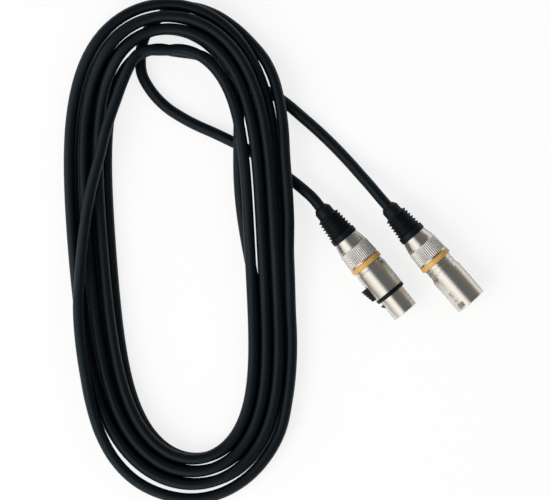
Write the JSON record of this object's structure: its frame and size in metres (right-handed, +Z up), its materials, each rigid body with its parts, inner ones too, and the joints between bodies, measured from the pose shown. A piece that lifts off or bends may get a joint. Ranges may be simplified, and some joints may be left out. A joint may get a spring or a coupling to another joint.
{
  "type": "xlr cable coil",
  "caption": "Balanced microphone cable lying in a loose oval coil, with a latching female connector and a male connector on ribbed boots.",
  "frame": {"origin": "centre of the lay on the surface that it rests on", "axes": "+Z up from that surface, +Y along the long way of the coil, towards the end where the leads cross under it, +X towards the connectors"},
  "size_m": [0.2434, 0.2932, 0.0211],
  "materials": {
    "jacket": "satin",
    "nickel": "satin",
    "coding_ring": "semi-gloss",
    "boot_rubber": "matte",
    "chuck_plastic": "matte",
    "insert_plastic": "satin",
    "contact": "polished",
    "shock_rubber": "matte",
    "button_plastic": "satin",
    "latch_steel": "satin",
    "wire_red": "gloss",
    "wire_white": "gloss",
    "wire_copper": "gloss"
  },
  "bodies": {
    "cable": {"cable_coil": "jacket", "cable_lead_female": "jacket", "cable_lead_male": "jacket", "female_shell": "nickel", "female_shock_ring": "shock_rubber", "female_insert": "insert_plastic", "female_socket_1": "contact", "female_socket_2": "contact", "female_socket_3": "contact", "latch_pivot_pin": "latch_steel", "latch_spring": "latch_steel", "female_coding_ring": "coding_ring", "female_bushing": "nickel", "female_boot": "boot_rubber", "female_chuck": "chuck_plastic", "female_cable_end": "jacket", "female_wire_1": "wire_red", "female_wire_2": "wire_white", "female_wire_3": "wire_copper", "male_shell": "nickel", "male_insert": "insert_plastic", "male_pin_1": "contact", "male_pin_2": "contact", "male_pin_3": "contact", "male_coding_ring": "coding_ring", "male_bushing": "nickel", "male_boot": "boot_rubber", "male_chuck": "chuck_plastic", "male_cable_end": "jacket", "male_wire_1": "wire_red", "male_wire_2": "wire_white", "male_wire_3": "wire_copper"},
    "latch": {"latch_lever": "latch_steel", "latch_button": "button_plastic"}
  },
  "joints": [
    {"name": "latch_press", "type": "hinge", "parent": "cable", "child": "latch", "pos_m": [0.05165, -0.0177, 0.01], "axis": [0, 0, 1], "range_deg": [0, 4.5], "stiffness_Nm_per_rad": 0.12, "springref_deg": -20.05}
  ]
}
